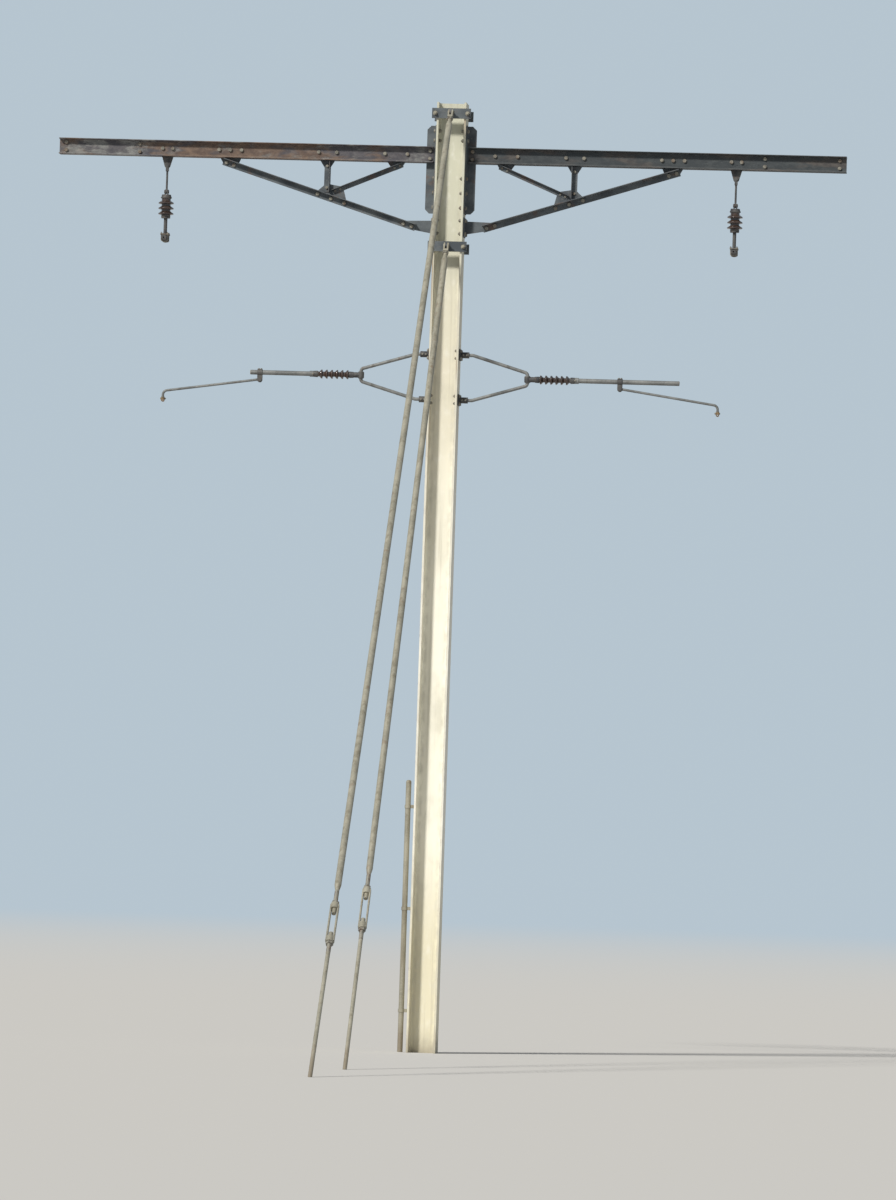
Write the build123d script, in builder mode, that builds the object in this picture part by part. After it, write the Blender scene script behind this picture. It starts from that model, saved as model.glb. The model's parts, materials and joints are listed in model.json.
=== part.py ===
from build123d import *
import math
import os

# Railway catenary mast between two tracks: an H-section column with a trussed arm over each
# track, a hanging insulator and a registration arm on each side, and two ground stays.
# Millimetres. +X runs across the tracks, +Y along them and +Z up. The origin is the centre of
# the column's foot, at ground level.

# Column, a wide-flange section whose flanges face the two tracks
column_height = 8400
column_depth = 260
column_width = 260
column_flange = 17.5
column_web = 10
column_root_radius = 24

# Plates and clearances shared by many pieces
gusset_thickness = 12
plate_thickness = 12
member_gap = 4
running_clearance = 0.08
seat_clearance = 0.1

# Cleats that carry the arms, rolled tees with the stem outwards
cleat_lug_gap = 35
cleat_width = 160
cleat_stem = 90
cleat_root_radius = 10
cleat_corner = 35

# Arms, two tapered channels back to back on each side
arm_seat = 260
arm_overhang = 970
channel_height = 140
channel_width = 60
channel_web = 7
channel_flange = 10
channel_slope = 0.08
channel_root_radius = 8
channel_toe_radius = 4
gusset_margin = 26

# Truss under each arm: strut, post and diagonal are pairs of angles
strut_foot_reach = 200
strut_foot_drop = 640
strut_head_setback = 500
strut_leg = 60
strut_leg_thickness = 6
post_setback = 930
post_leg = 50
post_leg_thickness = 5
diagonal_reach = 274
diagonal_leg = 40
diagonal_leg_thickness = 4
member_lap = 80
packer_reach = 250
packer_setback = 60

# Lug on the column that carries the foot of the strut
lug_plate_width = 150
lug_plate_height = 170
lug_radius = 30

# Suspension: hanger plate, link with a fork and an eye, insulator and wire saddle
suspension_x = 2530
hanger_drop = 80
hanger_eye_radius = 26
hanger_spread = 45
pin_radius = 10
pin_head_radius = 15
pin_head = 5
fork_gap = 1.5
fork_ear = 8
fork_ear_radius = 20
link_rod_radius = 9
link_length = 235
swing_pin_radius = 8
eye_radius = 19
cap_drop = 55
insulator_length = 165
insulator_core_radius = 40
insulator_shed_radius = 68
insulator_shed_count = 3
shed_hollow = 0.16
shed_lip = 0.24
shed_slope = 0.62
shed_rounding = 4.5
cap_radius = 46
stem_radius = 16
saddle_drop = 195
messenger_radius = 7.5
saddle_length = 220
saddle_width = 44
saddle_height = 52
saddle_end_height = 30

# Registration gear: bow with a vertical nose, swivel, insulator, tube and steady arm
system_height = 1440
registration_rise = 270
bow_spread = 400
bow_reach = 610
bow_nose_straight = 110
bow_bar_radius = 15
bow_bend_radius = 30
bow_shoulder = 110
bow_collar_radius = 22
bow_collar = 7
clamp_width = 130
clamp_height = 100
clamp_boss_radius = 27
clamp_boss = 75
swivel_radius = 28
swivel_height = 50
swivel_socket_radius = 24
swivel_reach = 95
strain_length = 300
strain_core_radius = 22
strain_shed_radius = 40
strain_shed_count = 6
tube_radius = 21
tube_wall = 3.5
tube_socket = 60
tube_socket_radius = 27
right_tube_overhang = 520
left_tube_overhang = 80
steady_drop = 66
bracket_ring = 8
bracket_length = 44
steady_eye = 14
steady_pin_radius = 8
steady_bar_radius = 11
steady_eye_radius = 18
steady_end_drop = 60
steady_bend_radius = 40
right_steady_length = 870
left_steady_length = 860
right_stagger = 100
left_stagger = 30
contact_wire_radius = 6
clip_length = 50
clip_width = 30
clip_height = 46
clip_jaw = 8

# Stays: collar plates with long bolts, forked rods, turnbuckles and anchor rods
upper_collar_gap = 55
lower_collar_gap = 50
upper_anchor_y = -9300
lower_anchor_y = -6700
collar_plate = 16
collar_height = 90
collar_overhang = 42
collar_bolt_radius = 10
collar_bolt_gap = 3
collar_hole_clearance = 0.5
nut_radius = 17
nut_height = 16
stay_lug = 16
stay_lug_reach = 62
stay_lug_radius = 30
stay_pin_radius = 12
stay_rod_radius = 17
stay_tube_radius = 27
stay_tube_taper = 60
stay_neck = 40
stay_bare_thread = 160
stay_ear = 12
stay_ear_radius = 28
stay_fork_length = 90
turnbuckle_distance = 1500
turnbuckle_length = 440
turnbuckle_boss = 60
turnbuckle_boss_radius = 32
turnbuckle_bar_thickness = 14
turnbuckle_bar_width = 34
turnbuckle_thread_length = 110

# Cable guard beside the left flange
guard_height = 2400
guard_radius = 24
guard_wall = 3
guard_stand_off = 40
guard_clip_height = 30
guard_clip_wall = 5
guard_foot_clip = 350
guard_head_clip = 250
guard_clip_width = 90

# Heights, worked down from the head of the column
upper_collar_height = column_height - upper_collar_gap - collar_height / 2
cleat_top = upper_collar_height - collar_height / 2 - upper_collar_gap
arm_centre_height = cleat_top - arm_seat
arm_bottom = arm_centre_height - channel_height / 2
strut_foot_height = arm_centre_height - strut_foot_drop
lug_bottom = strut_foot_height - lug_plate_height / 2
cleat_bottom = lug_bottom + lug_plate_height + cleat_lug_gap
lower_collar_height = lug_bottom - lower_collar_gap - collar_height / 2
strut_head_height = arm_bottom - strut_leg / 2 - member_gap
diagonal_head_height = arm_bottom - diagonal_leg / 2 - member_gap
hanger_pin_height = arm_bottom - hanger_drop
swing_pin_height = hanger_pin_height - link_length
insulator_top = swing_pin_height - cap_drop
insulator_bottom = insulator_top - insulator_length
saddle_wire_height = insulator_bottom - saddle_drop
contact_wire_height = saddle_wire_height - system_height
bow_height = contact_wire_height + registration_rise

# Distances from the middle of the column
column_face = column_depth / 2
column_edge = column_width / 2
arm_root_x = column_face + plate_thickness + cleat_root_radius + member_gap
arm_reach = suspension_x + arm_overhang
strut_foot_x = column_face + strut_foot_reach
strut_head_x = suspension_x - strut_head_setback
post_x = strut_head_x - post_setback
diagonal_head_x = arm_root_x + diagonal_reach
diagonal_foot_x = post_x - (post_leg + diagonal_leg) / 2 - 2 * member_gap
bow_nose_x = column_face + bow_reach
socket_x = bow_nose_x + swivel_reach
strain_end_x = socket_x + strain_length
right_wire_x = suspension_x - right_stagger
left_wire_x = suspension_x - left_stagger
right_steady_x = right_wire_x - right_steady_length
left_steady_x = left_wire_x - left_steady_length
right_tube_end = right_steady_x + right_tube_overhang
left_tube_end = left_steady_x + left_tube_overhang
guard_x = -(column_face + guard_stand_off + guard_radius)
strut_angle = math.atan2(strut_head_height - strut_foot_height, strut_head_x - strut_foot_x)


def strut_height(x):
    """Height of the strut's axis at x."""
    return strut_foot_height + (x - strut_foot_x) * math.tan(strut_angle)


def strut_top(x):
    """Height of the strut's upper edge at x."""
    return strut_height(x) + strut_leg / 2 / math.cos(strut_angle)


post_foot_height = strut_top(post_x + post_leg / 2) + member_gap
post_head_height = arm_bottom - member_gap
diagonal_foot_height = strut_top(diagonal_foot_x + diagonal_leg / 2) + diagonal_leg / 2 + member_gap


def save(piece, name):
    """Labels a finished piece and writes it."""
    piece.part.label = name
    export_step(piece.part, f"parts/{name}.step")


def on_left(piece):
    """The same piece on the other side of the column."""
    with BuildPart() as other:
        mirror(piece.part, about=Plane.YZ)
    return other


def along(start, end, distance):
    """The point that lies a distance from start towards end, in the arm's plane."""
    length = math.hypot(end[0] - start[0], end[1] - start[1])
    share = distance / length
    return (start[0] + share * (end[0] - start[0]), start[1] + share * (end[1] - start[1]))


def cross_pin(centre, direction, radius, half_length):
    """Cross pin with a head at each end."""
    with BuildPart() as pin:
        with BuildSketch(Plane(origin=centre, z_dir=direction)):
            Circle(radius)
        extrude(amount=half_length, both=True)
        for side in (1, -1):
            face = Vector(*centre) + Vector(*direction) * side * half_length
            with BuildSketch(Plane(origin=face, z_dir=Vector(*direction) * side)):
                Circle(pin_head_radius)
            extrude(amount=pin_head)
    return pin


def angle_pair(start, end, leg, thickness):
    """Two angles back to back that clasp the gusset plates between two points."""
    run = Vector(end[0] - start[0], 0, end[1] - start[1])
    section = Plane(origin=(start[0], 0, start[1]), x_dir=(0, 1, 0), z_dir=run)
    back = gusset_thickness / 2
    inner = back + thickness
    with BuildPart() as pair:
        with BuildSketch(section):
            with BuildLine():
                Polyline(
                    (back, -leg / 2),
                    (inner, -leg / 2),
                    (inner, leg / 2 - thickness),
                    (back + leg, leg / 2 - thickness),
                    (back + leg, leg / 2),
                    (back, leg / 2),
                    close=True,
                )
            make_face()
            fillet(vertices().sort_by_distance((inner, leg / 2 - thickness))[0], thickness)
            mirror(about=Plane.YZ)
        extrude(amount=run.length)
    return pair


# Column


def column():
    """Wide-flange section standing on the ground, its web in the plane y = 0."""
    recess = (column_width - column_web) / 2
    with BuildPart() as section:
        with BuildSketch(Plane.XY):
            Rectangle(column_depth, column_width)
            with Locations((0, column_web / 2 + recess / 2), (0, -column_web / 2 - recess / 2)):
                Rectangle(column_depth - 2 * column_flange, recess, mode=Mode.SUBTRACT)
            roots = vertices().filter_by(lambda v: abs(v.Y) < column_width / 4)
            fillet(roots, column_root_radius)
        extrude(amount=column_height)
    return section


# Arms and their truss


def cleat():
    """Rolled tee bolted to the column's flange, its stem between the arm's channels."""
    stem_start = column_face + plate_thickness
    stem_length = cleat_stem - plate_thickness
    with BuildPart() as tee:
        with BuildSketch(Plane.XY.offset(cleat_bottom)):
            with Locations((column_face + plate_thickness / 2, 0)):
                Rectangle(plate_thickness, cleat_width)
            with Locations((stem_start + stem_length / 2, 0)):
                Rectangle(stem_length, gusset_thickness)
            roots = vertices().filter_by(
                lambda v: abs(v.X - stem_start) < 1 and abs(v.Y) < gusset_thickness
            )
            fillet(roots, cleat_root_radius)
        extrude(amount=cleat_top - cleat_bottom)
        tips = edges().filter_by(Axis.Y).group_by(Axis.X)[-1]
        chamfer(tips, cleat_corner)
    return tee


def arm():
    """Two channels back to back with tapered flanges, toes outwards."""
    back = gusset_thickness / 2
    inner = back + channel_web
    toe = back + channel_width
    half = channel_height / 2
    toe_flange = channel_flange - channel_slope * channel_width / 2
    root_flange = toe_flange + channel_slope * (channel_width - channel_web)
    section = Plane(origin=(arm_root_x, 0, arm_centre_height), x_dir=(0, 1, 0), z_dir=(1, 0, 0))
    with BuildPart() as channels:
        with BuildSketch(section):
            with BuildLine():
                Polyline(
                    (back, -half),
                    (toe, -half),
                    (toe, toe_flange - half),
                    (inner, root_flange - half),
                    (inner, half - root_flange),
                    (toe, half - toe_flange),
                    (toe, half),
                    (back, half),
                    close=True,
                )
            make_face()
            roots = vertices().filter_by(lambda v: abs(v.X - inner) < 1)
            fillet(roots, channel_root_radius)
            toes = vertices().filter_by(lambda v: v.X > toe - 1 and abs(v.Y) < half - 1)
            fillet(toes, channel_toe_radius)
            mirror(about=Plane.YZ)
        extrude(amount=arm_reach - arm_root_x)
    return channels


def strut():
    """Inclined pair of angles from the column's lug to the arm."""
    start = along((strut_foot_x, strut_foot_height), (strut_head_x, strut_head_height), -strut_leg / 2)
    return angle_pair(start, (strut_head_x, strut_head_height), strut_leg, strut_leg_thickness)


def post():
    """Short upright pair of angles between strut and arm."""
    foot = (post_x, post_foot_height)
    return angle_pair(foot, (post_x, post_head_height), post_leg, post_leg_thickness)


def diagonal():
    """Light pair of angles from the arm's root down to the foot of the post."""
    head = (diagonal_head_x, diagonal_head_height)
    foot = (diagonal_foot_x, diagonal_foot_height)
    return angle_pair(head, foot, diagonal_leg, diagonal_leg_thickness)


def gussets():
    """Plates between the paired sections where they meet, and packers out to the arm's tip."""
    strut_foot = (strut_foot_x, strut_foot_height)
    strut_head = (strut_head_x, strut_head_height)
    diagonal_head = (diagonal_head_x, diagonal_head_height)
    diagonal_foot = (diagonal_foot_x, diagonal_foot_height)
    light_margin = gusset_margin - member_gap
    strut_head_plate = [
        (strut_head_x - 2 * member_lap, arm_centre_height),
        (strut_head_x + member_lap / 2, arm_centre_height),
        along(strut_head, strut_foot, gusset_margin),
        along(strut_head, strut_foot, gusset_margin + member_lap),
    ]
    post_head_plate = [
        (post_x - member_lap, arm_centre_height),
        (post_x + member_lap, arm_centre_height),
        (post_x, post_head_height - member_lap + gusset_margin),
    ]
    root_plate = [
        (diagonal_head_x - member_lap / 2, arm_centre_height),
        (diagonal_head_x + 2 * member_lap, arm_centre_height),
        along(diagonal_head, diagonal_foot, gusset_margin),
        along(diagonal_head, diagonal_foot, member_lap),
    ]
    strut_plate = [
        (post_x - 2 * member_lap, strut_height(post_x - 2 * member_lap)),
        (post_x + member_lap, strut_height(post_x + member_lap)),
        (post_x, post_foot_height + member_lap - gusset_margin),
        along(diagonal_foot, diagonal_head, member_lap),
    ]
    outlines = [
        (strut_head_plate, gusset_margin),
        (post_head_plate, gusset_margin),
        (root_plate, light_margin),
        (strut_plate, light_margin),
    ]
    for x in (suspension_x + packer_reach, arm_reach - packer_setback):
        lower = (x, arm_centre_height - channel_height / 4)
        upper = (x, arm_centre_height + channel_height / 4)
        outlines.append(([lower, upper], gusset_margin))
    with BuildPart() as plates:
        for points, margin in outlines:
            with BuildSketch(Plane.XZ):
                with Locations(*points):
                    Circle(margin)
                make_hull()
            extrude(amount=gusset_thickness / 2, both=True)
    return plates


def foot_lug():
    """Base plate on the column's flange with the lug that the strut's foot clasps."""
    foot = (strut_foot_x, strut_foot_height)
    head = (strut_head_x, strut_head_height)
    root_x = column_face + lug_radius
    with BuildPart() as lug:
        with BuildSketch(Plane.XY.offset(lug_bottom)):
            with Locations((column_face + plate_thickness / 2, 0)):
                Rectangle(plate_thickness, lug_plate_width)
        extrude(amount=lug_plate_height)
        with BuildSketch(Plane.XZ):
            with Locations(
                (root_x, strut_foot_height - lug_radius),
                (root_x, strut_foot_height + lug_radius),
                foot,
                along(foot, head, member_lap),
            ):
                Circle(lug_radius - member_gap)
            make_hull()
        extrude(amount=gusset_thickness / 2, both=True)
    return lug


# Suspension


def hanger():
    """Plate bolted between the arm's channels, with the eye that the link hangs from."""
    with BuildPart() as piece:
        with BuildSketch(Plane.XZ):
            with Locations(
                (suspension_x - hanger_spread, arm_centre_height),
                (suspension_x + hanger_spread, arm_centre_height),
                (suspension_x, hanger_pin_height),
            ):
                Circle(hanger_eye_radius)
            make_hull()
            with Locations((suspension_x, hanger_pin_height)):
                Circle(pin_radius + running_clearance, mode=Mode.SUBTRACT)
        extrude(amount=gusset_thickness / 2, both=True)
    return piece


def shed_outline(core, shed, length, count):
    """Outline of a shed insulator, from its lower end (0, 0) up its axis, with count sheds."""
    pitch = length / (count + 0.5)
    lip = shed_lip * pitch
    points = [(0, 0), (core, 0)]
    for shed_number in range(count):
        base = (shed_number + 0.35) * pitch
        points += [
            (core, base + shed_hollow * pitch),
            (shed - lip, base),
            (shed, base),
            (shed, base + lip),
            (core, base + shed_slope * pitch),
        ]
    points += [(core, length), (0, length)]
    return points


def shed_body(plane, core, shed, length, count):
    """Porcelain body turned about the plane's Y axis."""
    with BuildPart() as body:
        with BuildSketch(plane):
            with BuildLine():
                Polyline(*shed_outline(core, shed, length, count), close=True)
            make_face()
            rims = vertices().filter_by(lambda v: abs(v.X - shed) < shed_rounding)
            fillet(rims, shed_rounding)
        revolve(axis=Axis(plane.origin, plane.y_dir))
    return body


def link():
    """Forged link: a fork round the hanger's eye, a round shank and an eye turned a quarter."""
    inner = gusset_thickness / 2 + fork_gap
    outer = inner + fork_ear
    bridge_top = hanger_pin_height - hanger_eye_radius - 2 * member_gap
    bridge = 2 * link_rod_radius
    pin = cross_pin((suspension_x, 0, hanger_pin_height), (0, 1, 0), pin_radius, outer)
    with BuildPart() as piece:
        for side in (1, -1):
            start = Plane.XZ.offset(side * inner)
            with BuildSketch(start):
                with Locations((suspension_x, hanger_pin_height)):
                    Circle(fork_ear_radius)
                with Locations((suspension_x, (hanger_pin_height + bridge_top - bridge) / 2)):
                    Rectangle(2 * link_rod_radius + fork_ear, hanger_pin_height - bridge_top + bridge)
            extrude(amount=side * fork_ear)
        with Locations((suspension_x, 0, bridge_top - bridge / 2)):
            Box(2 * link_rod_radius + fork_ear, 2 * outer, bridge)
        shank_bottom = swing_pin_height + fork_ear_radius + member_gap
        with BuildSketch(Plane.XY.offset(shank_bottom)):
            with Locations((suspension_x, 0)):
                Circle(link_rod_radius)
        extrude(amount=bridge_top - bridge - shank_bottom)
        eye_plane = Plane(origin=(suspension_x, 0, swing_pin_height), x_dir=(0, 1, 0), z_dir=(1, 0, 0))
        neck = shank_bottom - swing_pin_height + member_gap
        with BuildSketch(eye_plane):
            Circle(eye_radius)
            with Locations((0, neck / 2)):
                Rectangle(2 * link_rod_radius, neck)
            Circle(swing_pin_radius + running_clearance, mode=Mode.SUBTRACT)
        extrude(amount=gusset_thickness / 2, both=True)
        add(pin.part)
    return piece


def suspension_insulator():
    """Three-shed porcelain body hanging below its cap."""
    plane = Plane(origin=(suspension_x, 0, insulator_bottom), x_dir=(1, 0, 0), z_dir=(0, -1, 0))
    return shed_body(
        plane,
        insulator_core_radius,
        insulator_shed_radius,
        insulator_length,
        insulator_shed_count,
    )


def insulator_cap():
    """Cast cap with the fork and pin that join the insulator to the link's eye."""
    inner = gusset_thickness / 2 + fork_gap
    outer = inner + fork_ear
    crown = swing_pin_height - eye_radius - 2 * member_gap
    pin = cross_pin((suspension_x, 0, swing_pin_height), (1, 0, 0), swing_pin_radius, outer)
    with BuildPart() as piece:
        with BuildSketch(Plane.XY.offset(insulator_top)):
            with Locations((suspension_x, 0)):
                Circle(cap_radius)
        extrude(amount=crown - insulator_top, taper=12)
        ear_plane = Plane(origin=(suspension_x, 0, swing_pin_height), x_dir=(0, 1, 0), z_dir=(1, 0, 0))
        for side in (1, -1):
            with BuildSketch(ear_plane.offset(side * inner)):
                Circle(fork_ear_radius)
                with Locations((0, (crown - swing_pin_height) / 2)):
                    Rectangle(2 * fork_ear_radius, swing_pin_height - crown)
            extrude(amount=side * fork_ear)
        add(pin.part)
    return piece


def saddle():
    """Wire saddle under the insulator: stem, and a boat-shaped clamp along the wire."""
    top = saddle_wire_height + saddle_height / 2
    half = saddle_length / 2
    side_plane = Plane(origin=(suspension_x, 0, saddle_wire_height), x_dir=(0, 1, 0), z_dir=(1, 0, 0))
    with BuildPart() as piece:
        with BuildSketch(side_plane):
            with BuildLine():
                Polyline(
                    (-half, saddle_end_height / 2),
                    (-half, -saddle_end_height / 2),
                    (-half / 2, -saddle_height / 2),
                    (half / 2, -saddle_height / 2),
                    (half, -saddle_end_height / 2),
                    (half, saddle_end_height / 2),
                    (half / 3, saddle_height / 2),
                    (-half / 3, saddle_height / 2),
                    close=True,
                )
            make_face()
        extrude(amount=saddle_width / 2, both=True)
        fillet(edges().filter_by(Axis.X), saddle_end_height / 6)
        with BuildSketch(Plane.XY.offset(top - member_gap)):
            with Locations((suspension_x, 0)):
                Circle(stem_radius)
        extrude(amount=insulator_bottom - top + member_gap)
        with BuildSketch(Plane.XY.offset(insulator_bottom)):
            with Locations((suspension_x, 0)):
                Circle(insulator_core_radius)
        extrude(amount=-stem_radius)
        with BuildSketch(Plane.XZ):
            with Locations((suspension_x, saddle_wire_height)):
                Circle(messenger_radius)
        extrude(amount=half, both=True, mode=Mode.SUBTRACT)
    return piece


# Registration gear


def bow_clamps():
    """Base plates on the column's flange, each with a boss for one end of the bow."""
    with BuildPart() as clamps:
        for side in (1, -1):
            height = bow_height + side * bow_spread / 2
            with BuildSketch(Plane.YZ.offset(column_face)):
                with Locations((0, height)):
                    RectangleRounded(clamp_width, clamp_height, gusset_margin / 2)
            extrude(amount=plate_thickness)
            with BuildSketch(Plane.YZ.offset(column_face + plate_thickness)):
                with Locations((0, height)):
                    Circle(clamp_boss_radius)
                    Circle(bow_bar_radius + seat_clearance, mode=Mode.SUBTRACT)
            extrude(amount=clamp_boss)
    return clamps


def bow():
    """Bent round bar whose upright nose is the hinge pin of the registration arm."""
    root = column_face + plate_thickness
    top = bow_height + bow_spread / 2
    bottom = bow_height - bow_spread / 2
    nose = bow_nose_straight / 2
    shoulder = root + bow_shoulder
    with BuildPart() as bar:
        with BuildLine(Plane.XZ) as path:
            FilletPolyline(
                (root, top),
                (shoulder, top),
                (bow_nose_x, bow_height + nose),
                (bow_nose_x, bow_height - nose),
                (shoulder, bottom),
                (root, bottom),
                radius=bow_bend_radius,
            )
        with BuildSketch(Plane.YZ.offset(root)):
            with Locations((0, top)):
                Circle(bow_bar_radius)
        sweep(path=path.wires()[0])
        for side in (1, -1):
            start = bow_height + side * (swivel_height / 2 + seat_clearance * 3)
            with BuildSketch(Plane.XY.offset(start)):
                with Locations((bow_nose_x, 0)):
                    Circle(bow_collar_radius)
            extrude(amount=side * bow_collar)
    return bar


def swivel():
    """Sleeve that turns on the bow's nose, with the socket for the insulator."""
    with BuildPart() as piece:
        with BuildSketch(Plane.YZ.offset(bow_nose_x)):
            with Locations((0, bow_height)):
                Circle(swivel_socket_radius)
        extrude(amount=swivel_reach)
        with BuildSketch(Plane.XY.offset(bow_height - swivel_height / 2)):
            with Locations((bow_nose_x, 0)):
                Circle(swivel_radius)
        extrude(amount=swivel_height)
        with BuildSketch(Plane.XY.offset(bow_height - swivel_height)):
            with Locations((bow_nose_x, 0)):
                Circle(bow_bar_radius + running_clearance)
        extrude(amount=2 * swivel_height, mode=Mode.SUBTRACT)
    return piece


def strain_insulator():
    """Slim porcelain rod with small sheds between swivel and tube."""
    plane = Plane(origin=(socket_x, 0, bow_height), x_dir=(0, 0, 1), z_dir=(0, 1, 0))
    return shed_body(
        plane,
        strain_core_radius,
        strain_shed_radius,
        strain_length,
        strain_shed_count,
    )


def registration_tube(end_x):
    """Tube of the registration arm, with the solid socket on its inner end."""
    with BuildPart() as piece:
        with BuildSketch(Plane.YZ.offset(strain_end_x)):
            with Locations((0, bow_height)):
                Circle(tube_socket_radius)
        extrude(amount=tube_socket)
        with BuildSketch(Plane.YZ.offset(strain_end_x + tube_socket)):
            with Locations((0, bow_height)):
                Circle(tube_radius)
                Circle(tube_radius - tube_wall, mode=Mode.SUBTRACT)
        extrude(amount=end_x - strain_end_x - tube_socket)
    return piece


def drop_bracket(pivot_x):
    """Ring clamped on the tube, with two ears and the pin that the steady arm turns on."""
    inner = steady_eye / 2 + fork_gap
    ring_radius = tube_radius + bracket_ring
    pivot_height = bow_height - steady_drop
    pivot = (pivot_x, 0, pivot_height)
    pin = cross_pin(pivot, (0, 1, 0), steady_pin_radius, inner + fork_ear)
    with BuildPart() as piece:
        with BuildSketch(Plane.YZ.offset(pivot_x - bracket_length / 2)):
            with Locations((0, bow_height)):
                Circle(ring_radius)
        extrude(amount=bracket_length)
        for side in (1, -1):
            with BuildSketch(Plane.XZ.offset(side * inner)):
                with Locations((pivot_x, pivot_height)):
                    Circle(bracket_length / 2)
                with Locations((pivot_x, (pivot_height + bow_height) / 2)):
                    Rectangle(bracket_length, steady_drop)
            extrude(amount=side * fork_ear)
        with BuildSketch(Plane.YZ.offset(pivot_x - bracket_length)):
            with Locations((0, bow_height)):
                Circle(tube_radius + seat_clearance)
        extrude(amount=2 * bracket_length, mode=Mode.SUBTRACT)
        add(pin.part)
    return piece


def steady_arm(pivot_x, wire_x):
    """Round bar with a flat eye at the bracket, sloping out to the wire and turned down there."""
    pivot_height = bow_height - steady_drop
    foot_height = contact_wire_height + clip_height / 2
    neck = bracket_length / 2 + 2 * member_gap
    with BuildPart() as piece:
        with BuildLine(Plane.XZ) as path:
            FilletPolyline(
                (pivot_x + neck, pivot_height),
                (wire_x, foot_height + steady_end_drop),
                (wire_x, foot_height),
                radius=steady_bend_radius,
            )
        with BuildSketch(Plane(origin=path.wires()[0] @ 0, z_dir=path.wires()[0] % 0)):
            Circle(steady_bar_radius)
        sweep(path=path.wires()[0])
        with BuildSketch(Plane.XZ):
            with Locations((pivot_x, pivot_height)):
                Circle(steady_eye_radius)
            with Locations((pivot_x + neck / 2, pivot_height)):
                Rectangle(neck + member_gap, 2 * steady_bar_radius)
        extrude(amount=steady_eye / 2, both=True)
        with BuildSketch(Plane.XZ):
            with Locations((pivot_x, pivot_height)):
                Circle(steady_pin_radius + running_clearance)
        extrude(amount=steady_eye, both=True, mode=Mode.SUBTRACT)
    return piece


def wire_clip(wire_x):
    """Clamp on the end of the steady arm, narrowing to the jaws round the contact wire."""
    with BuildPart() as piece:
        with BuildSketch(Plane.XZ):
            with Locations((wire_x, contact_wire_height + 3 * clip_height / 8)):
                Rectangle(clip_width, clip_height / 4)
            with Locations((wire_x, contact_wire_height)):
                Circle(contact_wire_radius + clip_jaw)
            make_hull()
        extrude(amount=clip_length / 2, both=True)
        fillet(edges().filter_by(Axis.Z), clip_width / 5)
        with BuildSketch(Plane.XZ):
            with Locations((wire_x, contact_wire_height)):
                Circle(contact_wire_radius)
        extrude(amount=clip_length, both=True, mode=Mode.SUBTRACT)
    return piece


# Stays


def collar(height):
    """Plates across both faces of the column, the front one with the stay's lug."""
    bolt_x = column_face + collar_bolt_radius + collar_bolt_gap
    length = 2 * (column_face + collar_overhang)
    lug_y = -column_edge - collar_plate - stay_lug_reach
    with BuildPart() as plates:
        for side in (1, -1):
            with Locations((0, side * (column_edge + collar_plate / 2), height)):
                Box(length, collar_plate, collar_height)
        with BuildSketch(Plane.YZ):
            with Locations((lug_y, height), (-column_edge - collar_plate / 2, height)):
                Circle(stay_lug_radius)
            make_hull()
            with Locations((-column_edge + stay_lug_radius, height)):
                Rectangle(2 * stay_lug_radius, collar_height, mode=Mode.SUBTRACT)
            with Locations((lug_y, height)):
                Circle(stay_pin_radius + seat_clearance, mode=Mode.SUBTRACT)
        extrude(amount=stay_lug / 2, both=True)
        with BuildSketch(Plane.XZ):
            with Locations((bolt_x, height), (-bolt_x, height)):
                Circle(collar_bolt_radius + collar_hole_clearance)
        extrude(amount=column_width, both=True, mode=Mode.SUBTRACT)
    return plates


def collar_bolts(height):
    """Two long bolts with nuts that draw the collar's plates together."""
    bolt_x = column_face + collar_bolt_radius + collar_bolt_gap
    face = column_edge + collar_plate
    with BuildPart() as bolts:
        with BuildSketch(Plane.XZ):
            with Locations((bolt_x, height), (-bolt_x, height)):
                Circle(collar_bolt_radius)
        extrude(amount=face + 2 * nut_height, both=True)
        for side in (1, -1):
            with BuildSketch(Plane.XZ.offset(side * face)):
                with Locations((bolt_x, height), (-bolt_x, height)):
                    RegularPolygon(nut_radius, 6)
            extrude(amount=side * nut_height)
    return bolts


def stay_frame(height, anchor_y):
    """Plane at the stay's upper pin whose Z axis runs down the stay, and the stay's length."""
    pin = Vector(0, -column_edge - collar_plate - stay_lug_reach, height)
    run = Vector(0, anchor_y, 0) - pin
    return Plane(origin=pin, x_dir=(1, 0, 0), z_dir=run), run.length


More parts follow.
